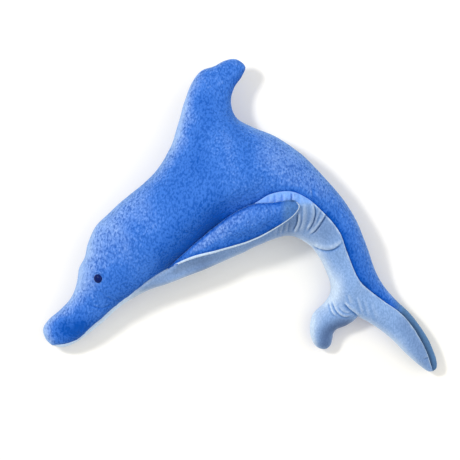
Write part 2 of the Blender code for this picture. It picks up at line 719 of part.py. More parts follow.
def build():
    """Build the whole dolphin."""
    for thing in list(bpy.data.objects):
        bpy.data.objects.remove(thing)
    points, normals, tuck, deep, faces, names, seats = body_surface()
    blue = (0.06, 0.20, 0.72)
    pale = (0.50, 0.66, 0.93)
    panels = {}
    for key, name, colour in (
        ("left", "left_side_panel", blue),
        ("right", "right_side_panel", blue),
        ("belly", "belly_panel", pale),
    ):
        shell, mesh = cloth_shell(points, normals, tuck, deep, faces[names == key], CLOTH)
        panels[key] = add_piece(name, shell, mesh, colour, 0.95)
    inside_points = points - normals * (deep + CLOTH + FIT_GAP)[:, None]
    core = add_piece("body_stuffing", inside_points, [tuple(f) for f in faces], (0.85, 0.85, 0.83), 1.0)
    add_eye("left", seats[0][0], seats[0][1], panels["left"], core)
    add_eye("right", seats[1][0], seats[1][1], panels["right"], core)
    top = face_normals(points, faces)[:, 2] > 0
    add_left_flipper(points - normals * tuck[:, None], faces[top])
    add_right_flipper()
    stand_over_origin()


def stand_over_origin():
    """Put the origin under the middle of the whole box."""
    spots = np.array([tuple(v.co) for piece in bpy.data.objects for v in piece.data.vertices])
    middle = (spots.min(0) + spots.max(0)) / 2
    for piece in bpy.data.objects:
        piece.data.transform(Matrix.Translation((-middle[0], -middle[1], 0)))


build()
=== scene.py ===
"""Looks of the plush dolphin: sewn and stuffed cloth, domed eyes, floor and light.

The cloth is cut and filled out here the same way as in the solids, only
finer, with the seams drawn in, the gathers of the belly, the nap, and
painted light and shade in the colour of the cloth.
"""

import math
from collections import Counter

import bpy
import numpy as np
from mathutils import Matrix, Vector, noise
from mathutils.bvhtree import BVHTree
from mathutils.geometry import delaunay_2d_cdt


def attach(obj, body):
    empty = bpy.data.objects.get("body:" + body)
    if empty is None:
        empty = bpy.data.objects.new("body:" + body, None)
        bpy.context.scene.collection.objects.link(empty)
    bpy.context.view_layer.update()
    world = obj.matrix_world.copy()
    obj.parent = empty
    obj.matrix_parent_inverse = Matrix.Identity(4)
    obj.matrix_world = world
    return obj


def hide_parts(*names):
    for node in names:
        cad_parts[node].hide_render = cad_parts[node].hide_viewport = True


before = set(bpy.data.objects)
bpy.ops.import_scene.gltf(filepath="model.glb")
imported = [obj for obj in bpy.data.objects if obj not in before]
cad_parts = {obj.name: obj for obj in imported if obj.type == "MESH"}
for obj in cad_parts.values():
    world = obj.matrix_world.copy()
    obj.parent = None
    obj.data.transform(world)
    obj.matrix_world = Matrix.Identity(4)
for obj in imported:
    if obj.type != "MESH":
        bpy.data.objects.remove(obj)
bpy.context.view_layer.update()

MM = 0.001

# The cutting table's places and its shift to the toy's middle are in millimetres
SHIFT = np.array((-0.33, 0.34))
THICKNESS = 84.0

# Plan outline and seams of the body
BACK_OUTLINE = (
    (-199, -137), (-205.5, -129.5), (-208, -119), (-201, -108), (-187, -96),
    (-178, -86), (-172, -71), (-169, -55), (-163, -43), (-160, -29),
    (-152, -11), (-138, 3), (-111, 26), (-88, 47), (-73, 73), (-64, 100),
    (-57, 124), (-50, 141), (-41, 152), (-27, 157), (-16, 163), (-4, 164),
    (5, 157), (1, 146), (-7, 134), (-10, 119), (-4, 103), (13, 93),
    (37, 83), (63, 66), (88, 40), (108, 17), (123, -8), (133, -33),
    (144, -61), (160, -85), (180, -104), (197, -127), (206, -148),
    (208, -157), (207, -161.5), (203.5, -164.5),
)
NEAR_FLUKE_INNER = (
    (203.5, -164.5), (199, -164.3), (192, -160), (175, -146), (158, -128),
    (141, -115), (124, -106),
)
BELLY_OUTLINE = (
    (124, -106), (118, -111.7), (110, -116.2), (101.3, -119.6), (98, -123.2),
    (96.8, -130), (95, -136.8), (91, -140.6), (84.5, -140.4), (78, -135.8),
    (73, -121), (76, -104), (90, -89), (95, -77), (90, -59), (79, -38),
    (66, -26), (50, -21), (32, -25), (0, -40), (-37, -56), (-74, -70),
    (-103, -81), (-125, -94), (-147, -114), (-167, -130), (-180, -137.2),
    (-190, -139), (-199, -137),
)
LEFT_SEAM = (
    (-199, -137), (-188, -137), (-175, -133.4), (-167, -128.6),
    (-156.5, -119.4), (-148, -111.8), (-136, -101), (-116, -85.2), (-94, -68),
    (-71, -53.5), (-41, -29), (-13.5, -4.5), (13.5, 11.3), (32, 22), (52, 25),
    (68, 19), (84, 6), (103, -16), (112, -40), (126, -69), (147, -86),
    (171, -103), (188, -125), (198, -146), (203.5, -164.5),
)
RIGHT_SEAM = (
    (-199, -137), (-189, -134), (-173, -128), (-147, -106), (-121, -85),
    (-94, -67), (-71, -50), (-42, -25), (-15, -3), (13, 8), (42, 8),
    (68, 0), (88, -18), (98, -42), (95, -77),
)
TAIL_BACK_SEAM = ((133, -33), (128, -57), (126, -83), (124, -106))
FLIPPER_UPPER_EDGE = (
    (-76, -55), (-59, -39), (-36, -19), (-10, 1), (13, 12), (36, 14),
    (55, 16),
)
FLIPPER_LOWER_EDGE = (
    (55, 16), (61, 10), (56, 1), (37, -13), (13, -26), (-21, -37),
    (-50, -45), (-76, -55),
)
FLIPPER_SEAM = (
    (-76, -55), (-66, -49.2), (-50, -42.2), (-21, -34.8), (12.7, -24.4),
    (36.4, -12), (55.2, 1.4), (60, 9.9), (55, 16),
)
EYE_PLACE = (-148, -65.6)
VALLEY_LINE = ((-71, -55), (-42, -27), (-15, -2), (13, 13))

# Plan place, height of the middle as a share of the thickness, and fullness
SOFT_PLACES = (
    (-196, -124, 0.226, 0.95), (-165, -103, 0.31, 0.85), (-132, -60, 0.393, 0.78),
    (-98, -18, 0.44, 0.79), (-55, 5, 0.452, 0.82), (0, 40, 0.452, 0.82),
    (60, 40, 0.44, 0.83), (-35, 90, 0.429, 0.55), (-32, 125, 0.393, 0.50),
    (-8, 155, 0.357, 0.75), (108, -20, 0.357, 0.88), (115, -65, 0.298, 0.88),
    (140, -90, 0.226, 0.75), (168, -120, 0.179, 0.80), (200, -155, 0.143, 1.05),
    (92, -105, 0.179, 0.75), (86, -134, 0.143, 0.95), (-60, -60, 0.488, 0.80),
)

# Gathers and creases: line, depth, half width, and share of the lip on its left
FOLDS = (
    (((58.7, 3), (59.2, -2.3), (58.7, -8.1), (56.8, -12.8), (54.4, -16.7)),
     2.4, 1.0, 0.6),
    (((63, 13), (64, 3), (63, -8.5), (59.5, -17)), 0.6, 1.0, 1.3),
    (((70, -17), (72.6, -12.8), (75.9, -6.2), (77.6, 1.5), (77.3, 8.2), (76, 13.5)),
     1.8, 0.95, 0.9),
    (((72.6, -20.5), (77.3, -16.7), (81.1, -11.9), (84.9, -6.2), (88.7, -0.4), (91.5, 3)),
     2.0, 0.95, 0.9),
    (((79, -12), (80.5, -5), (82.5, 1), (85, 7)), 0.5, 0.9, 1.0),
    (((66, -19), (69.5, -8), (70.5, 3), (70, 12)), 0.35, 1.1, 0.9),
    (((49.5, -17), (50.1, -13), (51, -7)), 1.0, 0.85, 0.8),
    (((43.5, -19), (45, -12), (46.5, -8)), 0.8, 0.85, 0.8),
    (((38, -21), (40, -12)), 0.5, 0.9, 0.8),
    (((75, -31), (79.3, -33.8), (84.9, -36), (91.7, -36.6), (98.3, -34.8),
      (103.1, -31.5), (107, -28)), 1.8, 1.4, 1.1),
    (((28.5, 20), (29, 13)), 1.0, 1.1, 1.2),
    (((35.5, 22), (36, 13)), 1.6, 1.1, 1.2),
    (((43, 23), (43.5, 14)), 1.6, 1.1, 1.2),
    (((53, 23.5), (53, 14)), 2.6, 0.9, 1.0),
    (((61, 23), (61, 14)), 0.7, 1.1, 1.2),
    (((76.7, 13), (75.6, 21), (74.6, 29)), 0.9, 1.4, 0.6),
    (((96.3, -89), (98, -95.8), (101.5, -101.9), (106.8, -106.3), (112.9, -107.1),
      (117, -105)), 1.1, 1.0, 0.8),
    (((92.8, -90), (94.5, -98.4), (97.1, -103.6), (101, -107)), 0.7, 1.0, 0.9),
    (((102.5, -96), (107, -101), (112.5, -103), (117, -101.5)), 0.6, 1.0, 0.9),
    (((108.4, -91.5), (112.9, -97.4), (117.3, -101), (124.2, -105.8)),
     2.0, 1.1, 0.8),
    (((111, -82), (114.5, -93)), 0.45, 1.2, 0.9),
    (((120, -85), (122.5, -93), (126.5, -103)), 0.6, 1.2, 0.8),
    (((127, -88), (129.5, -96), (133, -105.5)), 0.4, 1.4, 0.8),
    (((134, -90), (137, -99), (142, -110)), 0.35, 1.6, 0.8),
    (((193, -151.8), (199.5, -148.6)), 0.9, 0.9, 0.4),
    (((-158, -92), (-150, -95.8), (-142, -96), (-134, -92)), 0.9, 1.0, 0.1),
    (((-147, -78.5), (-141, -84), (-134, -88)), 0.7, 1.0, 0.1),
)

# Painted shade, below zero, and painted light on the fleece: line, radius, amount
FLEECE_LIGHT_AND_SHADE = (
    (((-183, -117), (-176, -121), (-168, -116)), 11, -0.92),
    (((-199, -134), (-205, -125), (-205, -114), (-198, -105)), 5, 0.35),
    (((-130, -80), (-122, -70)), 16, -0.2),
    (((-75, 30), (-50, 52)), 26, -0.28),
    (((40, 60), (72, 36)), 22, 0.17),
    (((-128, -8), (-112, 8)), 12, 0.12),
    (((-39, 118), (-33, 96)), 8, -0.22),
    (((-8, 104), (-4, 86)), 7, -0.2),
    (((-47, 86), (-44, 50)), 8, -0.16),
    (((-28, 88), (-30, 58)), 8, 0.1),
    (((-14, 84), (-13, 52)), 7, 0.08),
    (((6, 78), (8, 48)), 8, -0.12),
    (((-57, 118), (-63, 95), (-70, 74)), 3, 0.3),
    (((92, -2), (108, -25), (118, -50), (130, -72)), 7, -0.4),
    (((-80, -35), (-62, -14), (-40, 2), (-22, 16)), 12, -0.4),
    (((-22, 100), (-18, 112)), 24, -0.1),
    (((162, -92), (172, -104)), 8, 0.35),
)
# Painted light on the velour along the jaw and the chest's rim, and painted shade on the tail
# stock
VELOUR_LIGHT_AND_SHADE = (
    (((-190, -139), (-178, -137), (-164, -128), (-147, -114), (-125, -95), (-106, -83)),
     5, 1.0),
    (((-103, -82), (-74, -71), (-37, -57), (0, -41)), 2.5, 0.6),
    (((-100, -76), (-35, -52), (0, -38)), 12, 0.12),
    (((90, -42), (95, -58)), 10, -0.25),
)
# Painted grey shade on the velour, on the far fluke and the bend of the belly
GREY_SHADE_PLACES = (
    (((112, -114), (104, -115), (92, -122), (89, -134)), 8, 0.9),
    (((-35, -52), (-10, -42), (48, -10), (70, -6), (90, -16)), 18, 0.28),
    (((50, -8), (72, -3), (90, -12)), 15, 0.16),
    (((-110, -82), (-70, -64), (-40, -52)), 13, 0.34),
    (((172, -114), (186, -134), (195, -152)), 9, 0.4),
)

# Cloth, and how deep its seams are drawn in
CLOTH = 1.8 * MM
FLIPPER_CLOTH = 1.2 * MM
LEFT_SEAM_DEPTH = 2.2 * MM
RIGHT_SEAM_DEPTH = 1.6 * MM
FLIPPER_SEAM_DEPTH = 1.1 * MM
SEAM_REACH = 2.4 * MM
# Depth of a seam or fold tuck that gives the full painted shade in the cloth's colour
FULL_SHADE_TUCK = 1.6 * MM
PUCKER = 7 * MM
PUCKER_SEEDS = {"left": 1.5, "right": 4.5, "tail": 6.5, "flipper": 9.5}

# Valley under the upper flipper, and the plump of both flippers
VALLEY_DEPTH = 17 * MM
VALLEY_BACK_WIDTH = 15 * MM
VALLEY_BELLY_WIDTH = 42 * MM
FLIPPER_RIM = 0.3 * MM
FLIPPER_PLUMP = 5.7 * MM
HIDDEN_LIFT = 9.6 * MM
HIDDEN_RIM = 1.6 * MM
HIDDEN_PLUMP_UP = 7.2 * MM
HIDDEN_PLUMP_DOWN = 9 * MM

# Eyes
EYE_RADIUS = 4.5 * MM
EYE_HEIGHT = 3.4 * MM
EYE_EDGE = 0.7 * MM
EYE_STEM_RADIUS = 1.5 * MM
EYE_STEM_LENGTH = 6 * MM
EYE_DIMPLE = 0.8 * MM
DIMPLE_RADIUS = 7 * MM
DIMPLE_EDGE = 2.6 * MM

# Spacing of the mesh points
OUTLINE_STEP = 1.8 * MM
SEAM_STEP = 1.7 * MM
FLIPPER_STEP = 1.5 * MM
COARSE_STEP = 6 * MM
GRID = 2.2 * MM
LOWER_GRID = 1.3 * GRID
FLIPPER_GRID = 1.7 * MM
RIM_ROWS = (0.35 * MM, 1.0 * MM, 2.0 * MM, 3.5 * MM, 5.3 * MM)
SEAM_ROWS = (0.8 * MM, 1.8 * MM, 3.2 * MM)
FOLD_ROWS = (0, 0.7 * MM, -0.7 * MM, 1.4 * MM, -1.4 * MM, 2.2 * MM, -2.2 * MM)

# Linear tones of each cloth: plain, lint and painted light, pits and painted shade, tint (greyer
# on the fleece, painted light on the velour), and painted grey shade
BLUE_TONES = (
    (0.056, 0.207, 0.715), (0.38, 0.56, 0.94), (0.001, 0.088, 0.49),
    (0.108, 0.245, 0.5), (0.02, 0.11, 0.45),
)
PALE_TONES = (
    (0.265, 0.430, 0.750), (0.67, 0.82, 1.0), (0.05, 0.18, 0.46),
    (0.19, 0.42, 0.98), (0.075, 0.135, 0.29),
)
FILLING_TONES = (
    (0.82, 0.82, 0.80), (0.9, 0.9, 0.88), (0.6, 0.6, 0.6), (0.8, 0.8, 0.78),
    (0.7, 0.7, 0.7),
)
TONE_NAMES = ("Cloth Colour", "Lint and Light Colour", "Pit and Shade Colour", "Tint Light Shade Colour", "Grey Shade Colour")

# Room: lamps, camera and floor
LAMP_AWAY = 2.1
CAMERA_AWAY = 2.8
CAMERA_LEVEL = 0.03
SENSOR_WIDTH = 36
PICTURE_WIDTH = 483 * MM
PICTURE_MIDDLE = (-11.0, -14.8)
FAR = 4
FLOOR_DROP = 0.4 * MM


# Curves on the cutting table

def smooth_points(points, step):
    """Evenly spaced points on a smooth curve through the given points."""
    given = (np.array(points, float) + SHIFT) * MM
    knots = np.vstack([2 * given[0] - given[1], given, 2 * given[-1] - given[-2]])
    curve = [given[0]]
    for i in range(1, len(knots) - 2):
        a, b, c, d = knots[i - 1:i + 3]
        count = max(1, round(np.linalg.norm(c - b) / step))
        curve.extend(span_point(a, b, c, d, k / count) for k in range(1, count + 1))
    return np.array(curve)


def span_point(a, b, c, d, share):
    """Point of the smooth curve between b and c."""
    ta = 0.0
    tb = ta + math.sqrt(np.linalg.norm(b - a))
    tc = tb + math.sqrt(np.linalg.norm(c - b))
    td = tc + math.sqrt(np.linalg.norm(d - c))
    t = tb + share * (tc - tb)
    ab = a * (tb - t) / (tb - ta) + b * (t - ta) / (tb - ta)
    bc = b * (tc - t) / (tc - tb) + c * (t - tb) / (tc - tb)
    cd = c * (td - t) / (td - tc) + d * (t - tc) / (td - tc)
    abc = ab * (tc - t) / (tc - ta) + bc * (t - ta) / (tc - ta)
    bcd = bc * (td - t) / (td - tb) + cd * (t - tb) / (td - tb)
    return abc * (tc - t) / (tc - tb) + bcd * (t - tb) / (tc - tb)


def nearest_on_path(points, path):
    """Distance to a path, share along it, and the side from 1, left, to -1, right."""
    starts = path[:-1]
    runs = path[1:] - starts
    lengths = np.linalg.norm(runs, axis=1)
    along = np.concatenate([[0], np.cumsum(lengths)])
    gap = np.full(len(points), 1e9)
    share = np.zeros(len(points))
    side = np.ones(len(points))
    for start, run, length, so_far in zip(starts, runs, lengths, along):
        away = points - start
        t = np.clip(away @ run / length ** 2, 0, 1)
        d = np.linalg.norm(away - t[:, None] * run, axis=1)
        closer = d < gap
        gap[closer] = d[closer]
        share[closer] = (so_far + t[closer] * length) / along[-1]
        lean = (run[0] * away[closer, 1] - run[1] * away[closer, 0]) / length
        side[closer] = lean / np.maximum(d[closer], 1e-9)
    return gap, share, side


def inside(points, loop):
    """True for plan points that lie inside a closed loop."""
    x, y = points[:, 0], points[:, 1]
    odd = np.zeros(len(points), bool)
    for (x1, y1), (x2, y2) in zip(loop, np.roll(loop, -1, 0)):
        if y1 != y2:
            spans = (y1 > y) != (y2 > y)
            odd ^= spans & (x < (x2 - x1) * (y - y1) / (y2 - y1) + x1)
    return odd


def beside(path, gap, closed):
    """The path moved sideways by a gap, to its right."""
    if closed:
        lean = np.roll(path, -1, 0) - np.roll(path, 1, 0)
    else:
        lean = np.gradient(path, axis=0)
    lean /= np.maximum(np.linalg.norm(lean, axis=1), 1e-9)[:, None]
    return path + gap * np.column_stack([lean[:, 1], -lean[:, 0]])


class PlanPoints:
    """Plan points that keep a distance from each other."""

    def __init__(self):
        self.points = []
        self.cells = {}

    def near(self, point, gap):
        """True if a kept point lies within the gap."""
        reach = int(gap / MM) + 1
        x, y = int(point[0] // MM), int(point[1] // MM)
        for i in range(x - reach, x + reach + 1):
            for j in range(y - reach, y + reach + 1):
                for other in self.cells.get((i, j), ()):
                    if (other[0] - point[0]) ** 2 + (other[1] - point[1]) ** 2 < gap * gap:
                        return True
        return False

    def keep(self, point):
        """Keep a point and return its number."""
        point = (float(point[0]), float(point[1]))
        cell = (int(point[0] // MM), int(point[1] // MM))
        self.cells.setdefault(cell, []).append(point)
        self.points.append(point)
        return len(self.points) - 1

    def offer(self, points, loop, gap):
        """Keep each point inside the loop that is clear of those kept before."""
        for point in points[inside(points, loop)]:
            if not self.near(point, gap):
                self.keep(point)


def hex_grid(low, high, step):
    """Plan points on a staggered grid."""
    rows = []
    height = step * math.sqrt(3) / 2
    for j in range(int((high[1] - low[1]) / height) + 2):
        xs = np.arange(low[0] + (step / 2 if j % 2 else 0), high[0] + step, step)
        rows.append(np.column_stack([xs, np.full(len(xs), low[1] + j * height)]))
    return np.vstack(rows)


def line_ids(kept, rim, line):
    """Numbers of the mesh points of a sewn line, which may end on the rim."""
    ids = []
    for k, point in enumerate(line):
        gap = ((rim - point) ** 2).sum(1)
        if k in (0, len(line) - 1) and gap.min() < (1.2 * MM) ** 2:
            ids.append(int(gap.argmin()))
        elif gap.min() > (0.3 * MM) ** 2:
            ids.append(kept.keep(point))
    return ids


def cut_cloth(loop, lines, grid, folds=()):
    """Plan mesh in a clockwise loop, cut along the lines and finer along folds."""
    kept = PlanPoints()
    for point in loop:
        kept.keep(point)
    rim = np.array(kept.points)
    edges = []
    for line in lines:
        ids = line_ids(kept, rim, line)
        edges.extend(zip(ids, ids[1:]))
    for depth in SEAM_ROWS:
        for line in lines:
            for gap in (depth, -depth):
                row = beside(line, gap, False)[1:-1]
                kept.offer(row, loop, 0.62 * min(depth, 1.6 * MM))
    for depth in RIM_ROWS:
        row = beside(loop, depth, True)
        kept.offer(row, loop, 0.62 * min(max(depth, 0.6 * MM), 1.8 * MM))
    for line, *_ in folds:
        path = smooth_points(line, 0.8 * MM)
        for gap in FOLD_ROWS:
            kept.offer(beside(path, gap, False), loop, 0.55 * MM)
    kept.offer(hex_grid(loop.min(0), loop.max(0), grid), loop, 0.72 * grid)
    flat = [Vector(point) for point in kept.points]
    result = delaunay_2d_cdt(flat, edges, [list(range(len(loop)))[::-1]], 1, 1e-8)
    plan = np.array([(v.x, v.y) for v in result[0]])
    triangles = np.array([tuple(face) for face in result[2]])
    return plan, facing_up(plan, triangles), np.array(rim_ids(plan, loop))


def facing_up(plan, triangles):
    """Triangles turned so that all face up."""
    a, b, c = plan[triangles[:, 0]], plan[triangles[:, 1]], plan[triangles[:, 2]]
    area = (b - a)[:, 0] * (c - a)[:, 1] - (b - a)[:, 1] * (c - a)[:, 0]
    triangles[area < 0] = triangles[area < 0][:, ::-1]
    return triangles


def rim_ids(plan, loop):
    """Numbers of the mesh points on the loop."""
    places = {(round(x * 1e7), round(y * 1e7)): k for k, (x, y) in enumerate(plan)}
    ids = []
    for x, y in loop:
        key = (round(x * 1e7), round(y * 1e7))
        if key not in places:
            gap = (plan[:, 0] - x) ** 2 + (plan[:, 1] - y) ** 2
            places[key] = int(gap.argmin())
        ids.append(places[key])
    return ids


def fill_out(plan, triangles, rim, fullness):
    """Half thickness of a stuffed bag over its plan mesh."""
    corner = plan[triangles]
    edge = corner[:, [2, 0, 1]] - corner[:, [1, 2, 0]]
    area = 0.5 * np.abs(edge[:, 0, 0] * edge[:, 1, 1] - edge[:, 0, 1] * edge[:, 1, 0])
    area = np.maximum(area, 1e-14)
    load = np.zeros(len(plan))
    full = fullness[triangles].mean(1) ** 2 * area / 3
    one, two, pull = [], [], []
    for k in range(3):
        np.add.at(load, triangles[:, k], full)
        m = (k + 1) % 3
        one.append(triangles[:, k])
        two.append(triangles[:, m])
        pull.append(-(edge[:, k] * edge[:, m]).sum(1) / (4 * area))
    links = tuple(map(np.concatenate, (one, two, pull)))
    free = np.ones(len(plan), bool)
    free[rim] = False
    return np.sqrt(2 * np.maximum(swelling(links, load, free), 0))


def swelling(links, load, free):
    """Swelling of a held skin under a load, by the method of conjugate gradients."""
    one, two, pull = links
    count = len(load)
    diagonal = np.bincount(one, pull, count) + np.bincount(two, pull, count)

    def stiff(x):
        out = diagonal * x
        out -= np.bincount(one, pull * x[two], count)
        out -= np.bincount(two, pull * x[one], count)
        return np.where(free, out, 0)

    height = np.zeros(count)
    left = np.where(free, load, 0)
    scale = np.where(free, 1 / np.maximum(diagonal, 1e-9), 0)
    step = scale * left
    push = step.copy()
    power = left @ step
    first = power
    for _ in range(1500):
        answer = stiff(push)
        size = power / (push @ answer)
        height += size * push
        left -= size * answer
        step = scale * left
        fresh = left @ step
        if fresh < 1e-14 * first:
            break
        push = step + fresh / power * push
        power = fresh
    return height


def soft_place(plan):
    """Height of the middle and fullness at plan points."""
    middle = np.zeros(len(plan))
    full = np.zeros(len(plan))
    total = np.zeros(len(plan))
    for x, y, height, share in SOFT_PLACES:
        gap = ((plan - (np.array((x, y)) + SHIFT) * MM) ** 2).sum(1)
        weight = 1 / (gap + (9 * MM) ** 2) ** 1.6
        middle += weight * height * THICKNESS * MM
        full += weight * share
        total += weight
    return middle / total, full / total


def valley(plan):
    """Depth of the valley in which the upper flipper lies."""
    gap, share, side = nearest_on_path(plan, smooth_points(VALLEY_LINE, COARSE_STEP))
    width = VALLEY_BACK_WIDTH + (VALLEY_BELLY_WIDTH - VALLEY_BACK_WIDTH) * (1 - side) / 2
    fade = 1 - 0.45 * np.clip((share - 0.55) / 0.45, 0, 1)
    return VALLEY_DEPTH * fade * np.exp(-(gap / width) ** 2)


def hidden_lift(plan):
    """Height to which the hidden flipper lifts the lower side."""
    loop = smooth_points(FLIPPER_UPPER_EDGE + FLIPPER_LOWER_EDGE[1:], COARSE_STEP)
    gap = nearest_on_path(plan, loop)[0]
    gap = np.where(inside(plan, loop[:-1]), 0, gap)
    share = np.clip(1 - (gap - 7 * MM) / (26 * MM), 0, 1)
    return HIDDEN_LIFT * share * share * (3 - 2 * share)


def seam_tuck(plan, line, depth, name):
    """Depth of a seam drawn into the cloth, with small puckers."""
    gap, share, side = nearest_on_path(plan, line)
    length = np.linalg.norm(np.diff(line, axis=0), axis=1).sum()
    places = share * length / PUCKER
    spots = zip(places, np.sign(side))
    pucker = np.array([noise.noise((p, PUCKER_SEEDS[name], s)) for p, s in spots])
    reach = SEAM_REACH * (1 + 0.35 * pucker)
    return depth * (1 + 0.25 * pucker) * np.exp(-gap / reach)


def fold_depth(plan, line, depth, width, lip):
    """Depth of a gather that fades at both ends, with a raised lip on its left."""
    gap, share, side = nearest_on_path(plan, smooth_points(line, 2 * MM))
    fade = np.clip(np.minimum(share, 1 - share) * 5, 0.1, 1)
    across = -gap * side / (width * MM)
    past = np.exp(-(gap / (width * MM)) ** 2 * np.clip(1 - abs(side), 0, 1))
    groove = np.exp(-across ** 2)
    ridge = lip * np.exp(-((across + 1.9) / 1.25) ** 2)
    return depth * MM * fade * past * (groove - ridge)


def facing_light_and_shade(normals):
    """Painted light, 1, and painted shade, -1, by the way the cloth faces: light towards -x with a
    painted sheen on steep rims, shade (flat) towards +x and -y.
    """
    # Painted light on cloth facing -x, painted shade, flat, on cloth facing +x and -y, and a
    # painted sheen on steep rims
    painted_light = np.clip(-normals[:, 0] - 0.2 * abs(normals[:, 1]), 0, 1) ** 2.2
    painted_light *= np.clip(normals[:, 2] / 0.45 + 0.3, 0, 1)
    flat = np.clip((normals[:, 0] - normals[:, 1]) * 0.707, 0, 1) ** 5
    rim_sheen = np.clip(1 - abs(normals[:, 2]), 0, 1) ** 2
    return 1.2 * painted_light + 0.38 * rim_sheen, 1.3 * flat


def lumps(points, size, seed):
    """Slow unevenness of hand stuffing, from -1 to 1."""
    offset = Vector((seed, 2 * seed, 3 * seed))
    return np.array([noise.noise(Vector(p) / size + offset) for p in points])


def point_normals(points, triangles):
    """Unit normals of mesh points."""
    a, b, c = points[triangles[:, 0]], points[triangles[:, 1]], points[triangles[:, 2]]
    faces = np.cross(b - a, c - a)
    normals = np.zeros_like(points)
    for k in range(3):
        np.add.at(normals, triangles[:, k], faces)
    return normals / np.maximum(np.linalg.norm(normals, axis=1), 1e-12)[:, None]


def eye_seat(points, normals, centre):
    """Press a shallow dimple under an eye and return its place and axis."""
    gap = np.linalg.norm(points - centre, axis=1)
    near = gap < DIMPLE_RADIUS
    axis = normals[gap < 4 * MM].mean(0)
    axis /= np.linalg.norm(axis)
    seat = points[near].mean(0)
    level = (points[near] - seat) @ axis
    share = np.clip((DIMPLE_RADIUS - gap[near]) / DIMPLE_EDGE, 0, 1)
    share = share * share * (3 - 2 * share)
    points[near] += np.outer(share * (-EYE_DIMPLE - level), axis)
    return seat - axis * EYE_DIMPLE, axis


def body_curves():
    """Smooth outlines and seams of the body."""
    outlines = {"back": BACK_OUTLINE, "fluke": NEAR_FLUKE_INNER, "belly": BELLY_OUTLINE}
    seams = {"left": LEFT_SEAM, "right": RIGHT_SEAM, "tail": TAIL_BACK_SEAM}
    curves = {name: smooth_points(line, OUTLINE_STEP) for name, line in outlines.items()}
    curves.update({name: smooth_points(line, SEAM_STEP) for name, line in seams.items()})
    return curves


def upper_side(loop, left_seam):
    """Upper side of the body: mesh, rim, height, and depth of its seam and folds."""
    plan, triangles, rim = cut_cloth(loop, [left_seam], GRID, FOLDS)
    middle, full = soft_place(plan)
    half = fill_out(plan, triangles, rim, full)
    height = middle + half - valley(plan) * np.clip(half / (20 * MM), 0, 1)
    seam = seam_tuck(plan, left_seam, LEFT_SEAM_DEPTH, "left")
    seam *= np.clip(half / (8 * MM), 0.25, 1)
    folds = np.zeros(len(plan))
    for fold in FOLDS:
        folds += fold_depth(plan, *fold)
    return plan, triangles, rim, height, seam, folds


def lower_side(loop, right_seam, tail_seam):
    """Lower side of the body: mesh, rim, height and depth of its seams."""
    plan, triangles, rim = cut_cloth(loop, [right_seam, tail_seam], LOWER_GRID)
    middle, full = soft_place(plan)
    half = fill_out(plan, triangles, rim, full)
    height = np.maximum(middle - half, hidden_lift(plan))
    seam = seam_tuck(plan, right_seam, RIGHT_SEAM_DEPTH, "right")
    seam = np.maximum(seam, seam_tuck(plan, tail_seam, RIGHT_SEAM_DEPTH, "tail"))
    return plan, triangles, rim, height, seam * np.clip(half / (10 * MM), 0, 1)


def panel_names(curves, upper, lower):
    """Panel of each triangle of both sides, by its middle in the plan."""
    back, fluke, belly = curves["back"], curves["fluke"], curves["belly"]
    upper_belly = inside(upper, np.vstack([curves["left"], fluke[1:], belly[1:-1]]))
    start = int(((belly - curves["right"][-1]) ** 2).sum(1).argmin())
    lower_belly = inside(lower, np.vstack([curves["right"], belly[start + 1:-1]]))
    turn = int(((back - curves["tail"][0]) ** 2).sum(1).argmin())
    lower_left = inside(lower, np.vstack([curves["tail"][::-1], back[turn + 1:], fluke[1:-1]]))
    return np.concatenate([
        np.where(upper_belly, "belly", "left"),
        np.where(lower_belly, "belly", np.where(lower_left, "left", "right")),
    ])


def valley_shade_share(plan):
    """Share of painted shade in the deep hollow above the upper flipper."""
    share = nearest_on_path(plan, smooth_points(VALLEY_LINE, COARSE_STEP))[1]
    return (valley(plan) / VALLEY_DEPTH) ** 2 * np.clip((1.05 - share) / 0.4, 0, 1)


def stuffed(points, faces, tuck):
    """Points moved by uneven stuffing and tucks, above the floor, and their normals."""
    lift = 0.8 * MM * lumps(points, 34 * MM, 3.1) + 0.35 * MM * lumps(points, 13 * MM, 7.7)
    lift = np.where(points[:, 2] < 2 * MM, 0, lift)
    moved = points + point_normals(points, faces) * (lift - tuck)[:, None]
    moved[:, 2] = np.maximum(moved[:, 2], 0)
    return moved, point_normals(moved, faces)


def body_cloth():
    """Body surface, the panel of each triangle, and the tones of the cloths with their painted
    light and shade.
    """
    curves = body_curves()
    loop = np.vstack([curves[name][:-1] for name in ("back", "fluke", "belly")])
    plan, triangles, rim, height, seam, folds = upper_side(loop, curves["left"])
    lower = lower_side(loop, curves["right"], curves["tail"])
    low_plan, low_triangles, low_rim, low_height, low_seam = lower
    number = np.full(len(low_plan), -1)
    number[low_rim] = rim
    free = np.flatnonzero(number < 0)
    number[free] = len(plan) + np.arange(len(free))
    points = np.vstack([
        np.column_stack([plan, height]),
        np.column_stack([low_plan, low_height])[free],
    ])
    faces = np.vstack([triangles, number[low_triangles][:, ::-1]])
    panel = panel_names(curves, plan[triangles].mean(1), low_plan[low_triangles].mean(1))
    none = np.zeros(len(free))
    tuck = np.concatenate([seam + folds, low_seam[free]])
    # Seam and fold tucks also lay painted shade in the cloth's colour
    seam = np.concatenate([seam, low_seam[free]]) / FULL_SHADE_TUCK
    folds = np.concatenate([folds, none]) / FULL_SHADE_TUCK
    valley_shade = np.concatenate([valley_shade_share(plan), none])
    points, normals = stuffed(points, faces, tuck)
    # Painted light and shade by the way the cloth faces
    facing_light_shade = facing_light_and_shade(normals)
    fleece = fleece_tone(points, facing_light_shade, seam, folds, valley_shade, curves["left"])
    velour = velour_tone(points, facing_light_shade, seam, folds)
    return points, normals, faces, panel, {"left": fleece, "right": fleece, "belly": velour}


def towards_tail(points):
    """Share from the chest, 0, to the tail, 1."""
    return np.clip((points[:, 0] / MM + 20) / 60, 0, 1)


